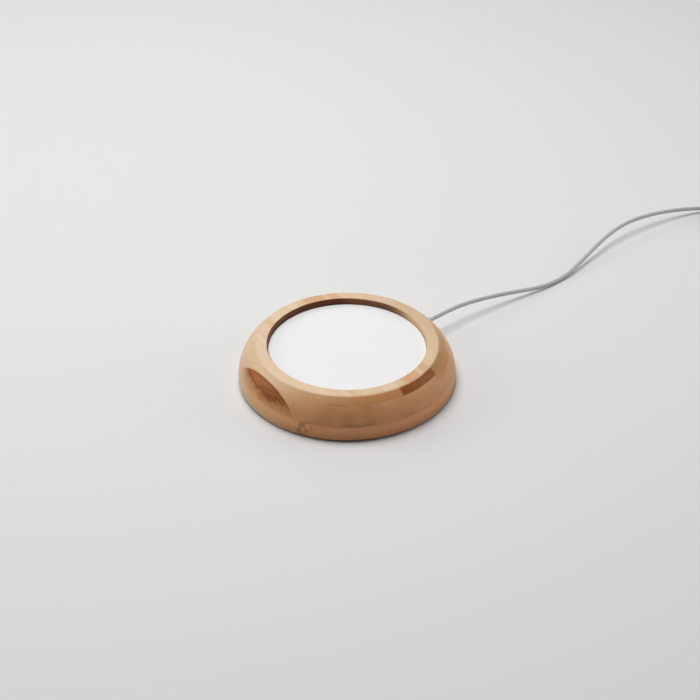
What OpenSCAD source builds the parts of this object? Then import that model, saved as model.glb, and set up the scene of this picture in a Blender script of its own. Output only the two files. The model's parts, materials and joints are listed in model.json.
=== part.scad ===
// Round bamboo wireless charging pad with a fixed USB lead.
// Units are millimetres. +Z is up and +Y is the back.
// The origin is on the table, under the centre of the pad.

/* [Bamboo ring] */
// Largest diameter of the ring
pad_d = 110; // [109:0.5:112]
// Thickness of the bamboo board of three layers that the ring is turned from
board_t = 20; // [20:0.25:21]
// Outer diameter of the flat rim on top
rim_d = 91.6; // [90:0.2:94]
// Diameter of the recess in the top
recess_d = 80; // [79:0.5:81]
// Depth of the recess, from the rim to the white plate
recess_depth = 3.3; // [3:0.1:3.8]
// Height of the ring's widest point above the table
widest_z = 3; // [2.5:0.25:4]

/* [Top plate and coil] */
// Thickness of the white top plate
plate_t = 2.5; // [2:0.1:2.6]
// Outer diameter of the transmit coil
coil_d = 43; // [41:0.5:45]
// Number of turns in the transmit coil
coil_turns = 10; // [9:1:11]
// Diameter of the ferrite disc behind the coil
ferrite_d = 50; // [48:0.5:52]

/* [Base] */
// Thickness of the bottom cover
cover_t = 2; // [2:0.1:2.4]
// Diameter of a rubber foot
foot_d = 10; // [8:0.5:11]
// Height of the gap that the feet leave under the pad
foot_h = 1; // [0.8:0.1:1.2]
// Diameter of the circuit board
pcb_d = 66; // [64:0.5:68]

/* [Lead and plug] */
// Diameter of the lead
cord_d = 2.2; // [2:0.1:2.3]
// Number of turns in the wound-up part of the lead, one above the other
wound_rows = 4; // [4:2:6]
// Width of the plug's moulded grip
grip_w = 16; // [15:0.5:17]
// Length of the plug's metal shell in front of the grip
shell_l = 18.8; // [18:0.1:19]

/* [Hidden] */
$fn = 96;
eps = 0.01;
far = 200;

// Ring: the side is one arc from the rim's edge, round the widest point, to the base
pad_r = pad_d / 2;
rim_r = rim_d / 2;
recess_r = recess_d / 2;
rim_z = foot_h + board_t;
side_drop = rim_z - widest_z;
side_in = pad_r - rim_r;
side_r = (side_in * side_in + side_drop * side_drop) / (2 * side_in);
side_c = [pad_r - side_r, widest_z];
crease_edge = 1.6;
lip_edge = 0.8;
base_edge = 0.8;

// Steps inside the ring, from the top down
tape_t = 0.2;
plate_top = rim_z - recess_depth;
plate_z = plate_top - plate_t;
seat_z = plate_z - tape_t;
ledge_t = 2;
ledge_r = recess_r - 4;
pocket_top = seat_z - ledge_t;
pocket_r = recess_r + 1;
rebate_r = pocket_r + 6.6;
cover_top = foot_h + cover_t;
slip = 0.15;
pin_slip = 0.02;

// Coil stack, hung under the plate
coil_tape_r = coil_d / 2 + 0.5;
coil_top = plate_z - tape_t;
coil_t = 1.2;
coil_z = coil_top - coil_t;
coil_hole_r = 10.25;
coil_pitch = (coil_d / 2 - coil_hole_r) / coil_turns;
turn_sides = 8;
ferrite_t = 1.2;
ferrite_z = coil_z - ferrite_t;
ferrite_hole_d = 3.5;
ferrite_slot_w = 2;
lead_d = 0.9;
lead_angles = [195, 210];

// Board and its four bosses
boss_h = 2.5;
boss_d = 5.5;
boss_r = 27;
pcb_t = 1.6;
pcb_z = cover_top + boss_h;
pcb_top = pcb_z + pcb_t;
board_screw_d = 1.7;
board_screw_head = [3.8, 1.4];

// Cover screws and feet
cover_screw_r = pocket_r + 3.3;
cover_screw_d = 2.2;
cover_screw_head = [5, 1.5];
cover_screw_l = 8;
foot_r = 37;
foot_seat = 1;

// Where the lead leaves the ring
cord_angle = 40;
exit_z = 10;
grommet_d = 4.4;
flange_d = 5.8;
flange_x = pocket_r - 2.2;
flange_t = 1.7;
nose_x = pad_r - 0.4;
exit_x = pad_r + 1.2;
nose_tip_d = cord_d + 1;
stop_t = 1.4;
stop_w = 9;
stop_h = 9.2;

// Wound-up part of the lead: three turns wide, lying on the tie
tie_t = 0.4;
turn_pitch = cord_d + 0.05;
wound_r = 12.5;
wound_half = turn_pitch + cord_d / 2;
wound_h = (wound_rows - 1) * turn_pitch + cord_d;
wound_at = [230, 154];
outer_turn_r = wound_r + turn_pitch;
tie_w = 7;
tie_angle = 225;

// Route of the lead from the grommet to the wound-up part
exit_at = [exit_x * cos(cord_angle), exit_x * sin(cord_angle), exit_z];
lead_route = [
  exit_at, [48.5, 41, 10], [53, 45.2, 9.8], [60, 51.3, 9.3], [68.5, 57.6, 8.3],
  [77.5, 63.7, 6.9], [87, 69.8, 5.2], [96, 75.2, 3.5], [105, 80.7, 2], [113.5, 87.1, 1.2],
  [122, 95, 1.6], [130.5, 105.6, 3.2], [140, 118, 5.4], [149.5, 129.8, 6.9],
  [159.5, 139.6, 7.6], [170, 147.4, 7.3], [183, 155.3, 6], [196, 161.6, 4.2],
  [207, 165.5, 2.7], [217, 167.9, 1.8], [224, 168.6, 1.5],
  [wound_at.x, wound_at.y + outer_turn_r, 1.5]
];

// Route of the lead from the wound-up part down to the plug
tail_x = wound_at.x + outer_turn_r;
tail_z = tie_t + wound_h - cord_d / 2;
grip_h = 8;
plug_at = [tail_x, 130, grip_h / 2];
tail_route = [
  [tail_x, wound_at.y, tail_z], [tail_x, 148, tail_z - 0.2], [tail_x, 142, 6.4],
  [tail_x, 136, 4.5], plug_at
];

// Plug, standard size A
relief_l = 10;
grip_l = 22;
shell_w = 12;
shell_h = 4.5;
shell_wall = 0.3;
shell_bury = 4;
shell_x = relief_l + grip_l - shell_bury;
shell_tip = relief_l + grip_l + shell_l;
tongue_t = 1.85;
tongue_w = shell_w - 2 * shell_wall;
tongue_z = -shell_h / 2 + shell_wall;

// ---- Shared shapes ----

// Smooth curve through p1 and p2
function spline_point(p0, p1, p2, p3, t) =
  0.5 * (2 * p1 + (p2 - p0) * t + (2 * p0 - 5 * p1 + 4 * p2 - p3) * t * t
         + (3 * p1 - p0 - 3 * p2 + p3) * t * t * t);

// Route with n steps between neighbouring points
function smooth_route(p, n) = let (last = len(p) - 1) concat(
  [for (i = [0:last - 1], j = [0:n - 1])
    spline_point(p[max(i - 1, 0)], p[i], p[i + 1], p[min(i + 2, last)], j / n)],
  [p[last]]
);

function unit(v) = v / norm(v);

function path_direction(p, i) = unit(p[min(i + 1, len(p) - 1)] - p[max(i - 1, 0)]);

// One ring of a tube, square to its path. side_on is never along the path
function tube_ring(p, i, d, sides, side_on) =
  let (t = path_direction(p, i), u = unit(cross(t, side_on)), v = cross(u, t))
    [for (k = [0:sides - 1]) p[i] + d / 2 * (cos(360 * k / sides) * u + sin(360 * k / sides) * v)];

// Round tube of one piece along a path
module tube_along(p, d, sides = 8, side_on = [0, 0, 1]) {
  last = len(p) - 1;
  rings = [for (i = [0:last]) each tube_ring(p, i, d, sides, side_on)];
  walls = [
    for (i = [0:last - 1], k = [0:sides - 1])
      let (a = i * sides + k, b = i * sides + (k + 1) % sides)
        each [[a, b, a + sides], [b, b + sides, a + sides]]
  ];
  ends = [
    [for (k = [sides - 1:-1:0]) k],
    [for (k = [0:sides - 1]) last * sides + k]
  ];
  polyhedron(points = rings, faces = concat(walls, ends));
}

// Copies of a child on a circle
module on_circle(r, count, start = 0) {
  for (i = [0:count - 1])
    rotate(start + i * 360 / count)
      translate([r, 0, 0])
        children();
}

// What a rounding of radius r takes off a corner of a profile
module corner_waste(centre, r, touch_a, touch_b, outside) {
  difference() {
    polygon([centre, touch_a, outside, touch_b]);
    translate(centre) circle(r);
  }
}

// What the same rounding takes off where the side arc meets a level face
module side_waste(z, r, up) {
  level = z - up * r;
  reach = sqrt((side_r - r) * (side_r - r) - (level - widest_z) * (level - widest_z));
  centre = [side_c.x + reach, level];
  touch = side_c + side_r * unit(centre - side_c);
  corner_waste(centre, r, [centre.x, z], touch, [touch.x + r, z + up * r]);
}

module rounded_rect(w, h, r) {
  translate([-w / 2 + r, -h / 2]) square([w - 2 * r, h]);
  translate([-w / 2, -h / 2 + r]) square([w, h - 2 * r]);
  for (x = [-1, 1], y = [-1, 1])
    translate([x * (w / 2 - r), y * (h / 2 - r)]) circle(r, $fn = 32);
}

// Stands its child, drawn about +Z, along the lead's way out
module along_exit() {
  rotate(cord_angle)
    translate([0, 0, exit_z])
      rotate([0, 90, 0])
        children();
}

// Cross slot in the head of a screw
module cross_slot(w, depth) {
  for (a = [0, 90])
    rotate(a)
      translate([-w / 2, -w / 8, -depth])
        cube([w, w / 4, 2 * depth]);
}

// Block part standing on the board
module board_part(x, y, size, turn = 0) {
  translate([x, y, pcb_top])
    rotate(turn)
      translate([-size.x / 2, -size.y / 2, 0])
        cube(size);
}

// ---- Bamboo ring ----

module ring_profile() {
  difference() {
    intersection() {
      translate(side_c) circle(side_r);
      translate([ledge_r, foot_h]) square([pad_r, board_t]);
    }
    translate([0, seat_z]) square([recess_r, far]);
    translate([0, foot_h - far]) square([pocket_r, far + pocket_top - foot_h]);
    translate([0, foot_h - far]) square([rebate_r, far + cover_t]);
    side_waste(rim_z, crease_edge, 1);
    side_waste(foot_h, base_edge, -1);
    corner_waste([recess_r + lip_edge, rim_z - lip_edge], lip_edge,
      [recess_r + lip_edge, rim_z], [recess_r, rim_z - lip_edge],
      [recess_r - lip_edge, rim_z + lip_edge]);
  }
}

module bamboo_ring() {
  color("burlywood")
    difference() {
      rotate_extrude($fn = 180) ring_profile();
      along_exit()
        translate([0, 0, flange_x])
          cylinder(d = grommet_d + 2 * pin_slip, h = far);
      on_circle(cover_screw_r, 4)
        translate([0, 0, foot_h])
          cylinder(d = cover_screw_d + 2 * pin_slip, h = cover_screw_l + 1, $fn = 32);
    }
}

// ---- Top plate, coil and ferrite ----

module top_plate() {
  edge = 0.3;
  plate_r = recess_r - slip;
  rib_r = ledge_r - 2 * slip;
  rib_t = 1.2;
  color("white")
    rotate_extrude($fn = 180)
      polygon([
        [0, plate_z], [rib_r - rib_t, plate_z], [rib_r - rib_t, plate_z - rib_t],
        [rib_r, plate_z - rib_t], [rib_r, plate_z], [plate_r, plate_z],
        [plate_r, plate_top - edge], [plate_r - edge, plate_top], [0, plate_top]
      ]);
}

module plate_tape() {
  color("gainsboro")
    translate([0, 0, seat_z])
      linear_extrude(tape_t)
        difference() {
          circle(recess_r - 0.5);
          circle(ledge_r + 0.3);
        }
}

module coil_tape() {
  color("khaki")
    translate([0, 0, coil_top])
      cylinder(r = coil_tape_r, h = tape_t);
}

module transmit_coil() {
  color("peru")
    rotate_extrude()
      translate([coil_hole_r, coil_z + coil_t / 2])
        intersection() {
          union() {
            for (i = [0:coil_turns - 1])
              translate([(i + 0.5) * coil_pitch, 0])
                rotate(180 / turn_sides)
                  circle(d = coil_t / cos(180 / turn_sides), $fn = turn_sides);
            translate([coil_pitch / 2, -coil_t / 4])
              square([(coil_turns - 1) * coil_pitch, coil_t / 2]);
          }
          translate([0, -coil_t / 2]) square([coil_turns * coil_pitch, coil_t]);
        }
}

// The outer end goes straight out; the inner end passes back through the ferrite's slot
module coil_leads() {
  mid = coil_z + coil_t / 2;
  under = ferrite_z + ferrite_t / 2;
  foot_x = ferrite_d / 2 + 2.6;
  outer_end = [
    [coil_d / 2 + 0.1, 0, mid], [ferrite_d / 2, 0, mid], [foot_x - 0.8, 0, mid - 0.3],
    [foot_x, 0, mid - 1.4], [foot_x, 0, under - 2], [foot_x, 0, pcb_top]
  ];
  inner_end = [
    [coil_hole_r - 0.2, 0, mid], [coil_hole_r - 1.2, 0, mid - 0.3],
    [coil_hole_r - 1.3, 0, under + 0.1], [coil_hole_r - 0.2, 0, under - 0.1],
    [coil_d / 2, 0, under - 0.1], [ferrite_d / 2 + 1, 0, under - 0.3],
    [foot_x, 0, under - 1.8], [foot_x, 0, pcb_top]
  ];
  color("chocolate") {
    rotate(lead_angles[0])
      tube_along(smooth_route(outer_end, 2), lead_d, 8, [0, 1, 0]);
    rotate(lead_angles[1])
      tube_along(smooth_route(inner_end, 2), lead_d, 8, [0, 1, 0]);
  }
}

module ferrite_disc() {
  color("dimgray")
    translate([0, 0, ferrite_z])
      difference() {
        cylinder(d = ferrite_d, h = ferrite_t);
        translate([0, 0, -1]) cylinder(d = ferrite_hole_d, h = ferrite_t + 2);
        rotate(lead_angles[1])
          translate([coil_hole_r - 2.4, -ferrite_slot_w / 2, -1])
            cube([ferrite_d, ferrite_slot_w, ferrite_t + 2]);
      }
}

module temperature_sensor() {
  bead_h = 1;
  color("darkslategray") {
    translate([0, 0, coil_top - bead_h])
      cylinder(d = 2.2, h = bead_h, $fn = 32);
    for (x = [-0.6, 0.6])
      translate([x, 0, pcb_top])
        cylinder(d = 0.4, h = coil_top - bead_h / 2 - pcb_top, $fn = 16);
  }
}

// ---- Circuit board and its parts ----

module circuit_board() {
  notch = [4, 12];
  color("darkgreen")
    translate([0, 0, pcb_z])
      difference() {
        cylinder(d = pcb_d, h = pcb_t);
        on_circle(boss_r, 4)
          translate([0, 0, -1]) cylinder(d = board_screw_d + 0.7, h = pcb_t + 2, $fn = 32);
        rotate(cord_angle)
          translate([pcb_d / 2 - notch.x / 2, -notch.y / 2, -1])
            cube([notch.x, notch.y, pcb_t + 2]);
      }
}

module controller_chip() {
  color("black") {
    board_part(0, -13, [5, 5, 0.9]);
    board_part(0, -13, [5.2, 4.2, 0.15]);
    board_part(0, -13, [4.2, 5.2, 0.15]);
  }
}

module bridge_mosfets() {
  color("black")
    for (x = [9, 14.5], y = [1, 6.5])
      board_part(x, y, [3.3, 3.3, 0.9]);
}

module resonant_capacitors() {
  color("tan")
    for (i = [0:3])
      board_part(-17, -4 + 4 * i, [3.2, 2.5, 2.2]);
}

module filter_inductor() {
  size = [5, 5, 2.6];
  lid = 0.4;
  color("gray")
    translate([15, -10, pcb_top]) {
      translate([-size.x / 2, -size.y / 2, 0]) cube([size.x, size.y, size.z - lid]);
      translate([0, 0, size.z - lid]) cylinder(d = size.x - 0.4, h = lid, $fn = 48);
    }
}

module ceramic_capacitors() {
  color("tan")
    for (i = [0:5])
      board_part(-4 + 3 * i, 15, [1.3, 2, 1.25]);
}

module chip_resistors() {
  color("black")
    for (i = [0:3]) {
      board_part(-9 + 2.2 * i, 8, [0.8, 1.6, 0.45]);
      board_part(-10, -8 - 2 * i, [1.6, 0.8, 0.45]);
    }
}

module crystal() {
  color("silver") {
    board_part(-6, -18, [3.2, 2.5, 0.4]);
    board_part(-6, -18, [2.9, 2.2, 0.7]);
  }
}

module board_screws() {
  grip = pcb_t + 3;
  color("silver")
    on_circle(boss_r, 4)
      translate([0, 0, pcb_top])
        difference() {
          union() {
            cylinder(d = board_screw_head[0], h = board_screw_head[1], $fn = 48);
            translate([0, 0, -grip])
              cylinder(d = board_screw_d - 2 * pin_slip, h = grip + eps, $fn = 32);
          }
          translate([0, 0, board_screw_head[1]]) cross_slot(2.2, 0.8);
        }
}

// ---- Bottom cover, screws and feet ----

module cover_screw_seat(extra) {
  cylinder(d1 = cover_screw_head[0] + extra, d2 = cover_screw_d + extra,
    h = cover_screw_head[1], $fn = 48);
}

// Upright stop that keeps the grommet's flange against the ring
module cord_stop() {
  slot_w = 3.4;
  rotate(cord_angle)
    translate([flange_x - stop_t - 0.1, 0, cover_top])
      difference() {
        translate([0, -stop_w / 2, 0]) cube([stop_t, stop_w, stop_h]);
        translate([-1, -slot_w / 2, stop_h - 4.5]) cube([stop_t + 2, slot_w, far]);
      }
}

module bottom_cover() {
  pilot_z = foot_h + cover_t / 2;
  color("darkslategray")
    difference() {
      union() {
        translate([0, 0, foot_h]) cylinder(r = rebate_r - slip, h = cover_t, $fn = 180);
        on_circle(boss_r, 4)
          translate([0, 0, cover_top]) cylinder(d = boss_d, h = boss_h, $fn = 48);
        cord_stop();
      }
      on_circle(boss_r, 4)
        translate([0, 0, pilot_z]) cylinder(d = board_screw_d, h = far, $fn = 32);
      on_circle(foot_r, 4, 45)
        translate([0, 0, foot_h - 1]) cylinder(d = foot_d + 2 * slip, h = foot_seat + 1);
      on_circle(cover_screw_r, 4) {
        translate([0, 0, foot_h - 1]) cylinder(d = cover_screw_d + 0.4, h = far, $fn = 32);
        translate([0, 0, foot_h - eps]) cover_screw_seat(0.3);
      }
    }
}

module cover_screws() {
  head_z = foot_h + 0.1;
  color("silver")
    on_circle(cover_screw_r, 4)
      translate([0, 0, head_z])
        difference() {
          union() {
            cover_screw_seat(0);
            cylinder(d = cover_screw_d, h = cover_screw_l, $fn = 32);
          }
          cross_slot(2.6, 0.9);
        }
}

module rubber_feet() {
  edge = 0.3;
  top = foot_h + foot_seat;
  r = foot_d / 2;
  color("black")
    on_circle(foot_r, 4, 45)
      rotate_extrude()
        polygon([[0, 0], [r - edge, 0], [r, edge], [r, top], [0, top]]);
}

// ---- Lead ----

// Moulded on the lead: a flange inside the ring, a shank in the hole and a short nose
module cord_grommet() {
  r = grommet_d / 2;
  color("gray")
    along_exit()
      rotate_extrude($fn = 48)
        polygon([
          [0, flange_x], [flange_d / 2, flange_x], [flange_d / 2, flange_x + flange_t],
          [r, flange_x + flange_t], [r, nose_x], [r - 0.3, nose_x + 0.6],
          [nose_tip_d / 2, exit_x], [0, exit_x]
        ]);
}

// Conductor from the flange down to its pad, drawn on the side given by hand
module supply_wire(hand) {
  wire_d = 1.1;
  x = flange_x - 0.05;
  rotate(cord_angle)
    tube_along(smooth_route([
      [x, hand * 0.8, exit_z], [x - 2.5, hand * 0.8, exit_z + 0.4],
      [x - 5, hand * 1.1, exit_z + 0.7], [x - 7.5, hand * 1.6, exit_z + 0.3],
      [x - 9.2, hand * 2, exit_z - 1], [x - 9.6, hand * 2, pcb_top]
    ], 2), wire_d, 8, [0, 1, 0]);
}

module positive_wire() {
  color("red") supply_wire(1);
}

module negative_wire() {
  color("black") supply_wire(-1);
}

module cord_lead() {
  color("silver") tube_along(smooth_route(lead_route, 2), cord_d);
}

module cord_tail() {
  color("silver") tube_along(smooth_route(tail_route, 2), cord_d);
}

// Outer shape of the wound-up turns
module wound_profile(grow) {
  translate([wound_r - wound_half - grow, tie_t - grow])
    square([2 * (wound_half + grow), wound_h + 2 * grow]);
}

module cord_coil() {
  color("silver")
    translate(wound_at)
      rotate_extrude() wound_profile(0);
}

module cord_tie() {
  span = tie_w / wound_r * 180 / PI;
  color("dimgray")
    translate(wound_at)
      rotate(tie_angle - span / 2)
        rotate_extrude(angle = span)
          difference() {
            wound_profile(tie_t);
            wound_profile(0);
          }
}

// ---- Plug ----

// The plug is drawn along +X from the end of its relief, then laid in place
module place_plug() {
  translate(plug_at)
    rotate(-90)
      children();
}

// Slides its child, drawn in the Y-Z plane, along X
module along_plug(x, l) {
  translate([x, 0, 0])
    rotate([90, 0, 90])
      linear_extrude(l)
        children();
}

module relief() {
  groove = 0.35;
  step = 1.6;
  r0 = 1.8;
  slope = 0.14;
  rotate([0, 90, 0])
    rotate_extrude($fn = 48)
      difference() {
        polygon([[0, 0], [r0, 0], [r0 + slope * relief_l, relief_l], [0, relief_l]]);
        for (i = [1:5])
          translate([r0 + slope * i * step - groove, i * step])
            square([far, step / 2]);
      }
}

module plug_grip() {
  color("gray")
    place_plug() {
      relief();
      difference() {
        intersection() {
          translate([relief_l + grip_l / 2, 0, -grip_h / 2])
            linear_extrude(grip_h) rounded_rect(grip_l, grip_w, 3);
          along_plug(relief_l, grip_l) rounded_rect(grip_w, grip_h, 2.4);
        }
        along_plug(shell_x, far) rounded_rect(shell_w, shell_h, 0.6);
      }
    }
}

module plug_shell() {
  window = [2.5, 2.2];
  window_x = shell_tip - 5.2 - window.x;
  color("lightgray")
    place_plug()
      difference() {
        along_plug(shell_x, shell_tip - shell_x)
          difference() {
            rounded_rect(shell_w, shell_h, 0.6);
            rounded_rect(shell_w - 2 * shell_wall, shell_h - 2 * shell_wall, 0.3);
          }
        for (y = [-1, 1])
          translate([window_x, y * 2.85 - window.y / 2, -far / 2])
            cube([window.x, window.y, far]);
      }
}

module plug_tongue() {
  back = 8;
  color("white")
    place_plug() {
      translate([shell_x, -tongue_w / 2, tongue_z])
        cube([shell_tip - shell_x - 0.4, tongue_w, tongue_t]);
      translate([shell_x, -tongue_w / 2, tongue_z])
        cube([back, tongue_w, shell_h - 2 * shell_wall]);
    }
}

module plug_contacts() {
  strip_t = 0.15;
  color("gold")
    place_plug()
      for (i = [0:3]) {
        y = [-3.5, -1, 1, 3.5][i];
        l = abs(y) > 2 ? 8.6 : 7.6;
        translate([shell_tip - 1.2 - l, y - 0.5, tongue_z + tongue_t])
          cube([l, 1, strip_t]);
      }
}

bamboo_ring();
top_plate();
plate_tape();
coil_tape();
transmit_coil();
coil_leads();
ferrite_disc();
temperature_sensor();
circuit_board();
controller_chip();
bridge_mosfets();
resonant_capacitors();
filter_inductor();
ceramic_capacitors();
chip_resistors();
crystal();
board_screws();
bottom_cover();
cover_screws();
rubber_feet();
cord_grommet();
positive_wire();
negative_wire();
cord_lead();
cord_coil();
cord_tail();
cord_tie();
plug_grip();
plug_shell();
plug_tongue();
plug_contacts();
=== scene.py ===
"""Looks of the bamboo wireless charging pad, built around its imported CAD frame."""
import json
from math import ceil, cos, pi, radians, sin, tau

import bmesh
import bpy
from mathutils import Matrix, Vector


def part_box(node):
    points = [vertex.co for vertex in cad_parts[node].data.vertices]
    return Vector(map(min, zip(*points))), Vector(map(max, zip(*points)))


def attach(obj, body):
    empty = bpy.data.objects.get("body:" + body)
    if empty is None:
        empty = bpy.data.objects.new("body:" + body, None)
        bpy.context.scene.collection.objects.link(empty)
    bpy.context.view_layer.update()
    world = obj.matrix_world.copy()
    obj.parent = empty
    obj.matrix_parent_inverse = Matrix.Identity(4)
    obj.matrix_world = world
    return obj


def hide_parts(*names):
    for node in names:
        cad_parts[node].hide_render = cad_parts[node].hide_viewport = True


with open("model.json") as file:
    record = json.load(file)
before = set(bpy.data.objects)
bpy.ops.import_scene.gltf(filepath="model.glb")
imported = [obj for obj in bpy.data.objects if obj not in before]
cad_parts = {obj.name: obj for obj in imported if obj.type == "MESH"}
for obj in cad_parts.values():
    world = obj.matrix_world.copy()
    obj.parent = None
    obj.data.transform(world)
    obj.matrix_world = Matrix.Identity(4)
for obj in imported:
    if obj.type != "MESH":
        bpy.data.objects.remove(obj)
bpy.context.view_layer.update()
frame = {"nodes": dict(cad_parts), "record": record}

MM = 0.001
BODY = "root"
NODES = frame["nodes"]

# Where the lead leaves the ring, and its route, as in part.scad
CORD_D = 2.2 * MM
CORD_ANGLE = radians(40)
EXIT_R = 56.2 * MM
EXIT_AT = (EXIT_R * cos(CORD_ANGLE), EXIT_R * sin(CORD_ANGLE), 10 * MM)
WOUND_AT = (0.230, 0.154)
WOUND_R = 12.5 * MM
TURN_PITCH = CORD_D + 0.05 * MM
OUTER_TURN_R = WOUND_R + TURN_PITCH
WOUND_COLUMNS = 3
WOUND_ROWS = 4
TIE_T = 0.4 * MM
FIRST_TURN_Z = TIE_T + CORD_D / 2
TIE_ANGLE = radians(225)
TIE_W = 7 * MM
LEAD_ROUTE = [
    EXIT_AT, (0.0485, 0.041, 0.010), (0.053, 0.0452, 0.0098), (0.060, 0.0513, 0.0093),
    (0.0685, 0.0576, 0.0083), (0.0775, 0.0637, 0.0069), (0.087, 0.0698, 0.0052),
    (0.096, 0.0752, 0.0035), (0.105, 0.0807, 0.002), (0.1135, 0.0871, 0.0012),
    (0.122, 0.095, 0.0016), (0.1305, 0.1056, 0.0032), (0.140, 0.118, 0.0054),
    (0.1495, 0.1298, 0.0069), (0.1595, 0.1396, 0.0076), (0.170, 0.1474, 0.0073),
    (0.183, 0.1553, 0.006), (0.196, 0.1616, 0.0042), (0.207, 0.1655, 0.0027),
    (0.217, 0.1679, 0.0018), (0.224, 0.1686, 0.0015),
    (WOUND_AT[0], WOUND_AT[1] + OUTER_TURN_R, 0.0015),
]
TAIL_X = WOUND_AT[0] + OUTER_TURN_R
PLUG_AT = (TAIL_X, 0.130, 0.004)
TAIL_ROUTE = [
    (TAIL_X, WOUND_AT[1], 0.00825), (TAIL_X, 0.148, 0.00805), (TAIL_X, 0.142, 0.0064),
    (TAIL_X, 0.136, 0.0045), PLUG_AT,
]

# The wound-up part: it runs clockwise, and each turn crosses over to the next one's place
# under the strap
TURN_START = radians(90)
TURNS = WOUND_COLUMNS * WOUND_ROWS - 0.75
FIRST_CROSSING = TURN_START - TIE_ANGLE + tau
CROSSINGS = WOUND_COLUMNS * WOUND_ROWS - 1
CROSS_OVER_HALF = radians(42)
ROW_CHANGE_BULGE = 0.36 * TURN_PITCH

# Points made on the lead: in each turn, and between neighbouring points of its routes
STEPS_PER_TURN = 72
LEAD_STEPS = 8
TAIL_STEPS = 6


def add_object(name, data):
    """A new object in the scene that shows the data."""
    made = bpy.data.objects.new(name, data)
    bpy.context.scene.collection.objects.link(made)
    return made


# ---- Camera ----

CAMERA_TARGET = Vector((0.0014, 0.0233, 0.0))
CAMERA_DISTANCE = 0.88
CAMERA_ELEVATION = radians(34.73)
CAMERA_LENS = 87.13
SENSOR_WIDTH = 36


def add_camera():
    """Looks along +Y from in front of the pad, at the photograph's angle."""
    data = bpy.data.cameras.new("camera")
    data.lens = CAMERA_LENS
    data.sensor_width = SENSOR_WIDTH
    data.clip_start = 0.01
    camera = add_object("camera", data)
    back = Vector((0, -cos(CAMERA_ELEVATION), sin(CAMERA_ELEVATION)))
    camera.location = CAMERA_TARGET + CAMERA_DISTANCE * back
    camera.rotation_euler = back.to_track_quat("Z", "Y").to_euler()
    bpy.context.scene.camera = camera


# ---- Shared shapes ----

def smoothstep(t):
    t = min(max(t, 0.0), 1.0)
    return t * t * (3 - 2 * t)


def spline_point(p0, p1, p2, p3, t):
    """Point between p1 and p2 on the smooth curve through all four."""
    return 0.5 * (2 * p1 + (p2 - p0) * t + (2 * p0 - 5 * p1 + 4 * p2 - p3) * t * t
                  + (3 * p1 - p0 - 3 * p2 + p3) * t * t * t)


def smooth_route(route, steps):
    """The route with that many steps between neighbouring points."""
    p = [Vector(point) for point in route]
    last = len(p) - 1
    points = [
        spline_point(p[max(i - 1, 0)], p[i], p[i + 1], p[min(i + 2, last)], j / steps)
        for i in range(last) for j in range(steps)
    ]
    return points + [p[last]]


def round_curve(name, points, radius, resolution):
    """A round tube that follows the points, closed at both ends."""
    data = bpy.data.curves.new(name, "CURVE")
    data.dimensions = "3D"
    data.bevel_depth = radius
    data.bevel_resolution = resolution
    data.use_fill_caps = True
    spline = data.splines.new("POLY")
    spline.points.add(len(points) - 1)
    for slot, point in zip(spline.points, points):
        slot.co = (*point, 1)
    spline.use_smooth = True
    return add_object(name, data)


def skin(name, rings):
    """A smooth closed solid through the rings of points, capped at both ends."""
    mesh = bmesh.new()
    loops = [[mesh.verts.new(point) for point in ring] for ring in rings]
    for near, far in zip(loops, loops[1:]):
        for i in range(len(near)):
            j = (i + 1) % len(near)
            mesh.faces.new((near[i], near[j], far[j], far[i])).smooth = True
    mesh.faces.new(loops[0])
    mesh.faces.new(loops[-1])
    bmesh.ops.recalc_face_normals(mesh, faces=mesh.faces)
    data = bpy.data.meshes.new(name)
    mesh.to_mesh(data)
    mesh.free()
    return add_object(name, data)


def dress(piece, node, material):
    """Puts a new piece in a CAD node's place, with its own material."""
    piece.data.materials.append(material)
    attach(piece, BODY)
    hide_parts(node)
    return piece


# ---- Lead ----

def turn_slot(k):
    """Radius and height of turn k. Each row runs back the way the last one came."""
    row, place = divmod(k, WOUND_COLUMNS)
    column = place if row % 2 == 0 else WOUND_COLUMNS - 1 - place
    return OUTER_TURN_R - column * TURN_PITCH, FIRST_TURN_Z + row * TURN_PITCH


def wound_point(travel):
    """Point on the wound-up part after that angle of travel."""
    k = min(max(round((travel - FIRST_CROSSING) / tau), 0), CROSSINGS - 1)
    offset = travel - FIRST_CROSSING - k * tau
    share = smoothstep(0.5 + offset / (2 * CROSS_OVER_HALF))
    (r0, z0), (r1, z1) = turn_slot(k), turn_slot(k + 1)
    r = r0 + (r1 - r0) * share
    if r0 == r1:
        side = 1 if r0 > WOUND_R else -1
        r += side * ROW_CHANGE_BULGE * sin(pi * share)
    angle = TURN_START - travel
    x = WOUND_AT[0] + r * cos(angle)
    y = WOUND_AT[1] + r * sin(angle)
    return Vector((x, y, z0 + (z1 - z0) * share))


def cord_points():
    """Centreline of the whole lead: along the table, round the wound-up part, to the plug."""
    count = ceil(TURNS * STEPS_PER_TURN)
    turns = [wound_point(TURNS * tau * i / count) for i in range(1, count)]
    return smooth_route(LEAD_ROUTE, LEAD_STEPS) + turns + smooth_route(TAIL_ROUTE, TAIL_STEPS)


def add_cord(with_pieces):
    """The lead as one curve from the grommet to the plug."""
    points = cord_points()
    cord = round_curve("cord", points, CORD_D / 2, 4)
    cord.data.materials.append(cord_sheath())
    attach(cord, BODY)
    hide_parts("cord_lead", "cord_coil", "cord_tail")


# ---- Strap ----

STRAP_T = 0.34 * MM
STRAP_GAP = 0.02 * MM
STRAP_HALF_ANGLE = radians(20)

# Round the turns, in degrees: the strap's start, how far on it climbs onto its own start, and
# how far on it ends. The lapping layer lies a little more than one thickness higher.
STRAP_START = 125
STRAP_CLIMB = (345, 360)
STRAP_END = 500
STRAP_STEP = 5
STRAP_LAP = 1.06


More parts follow.
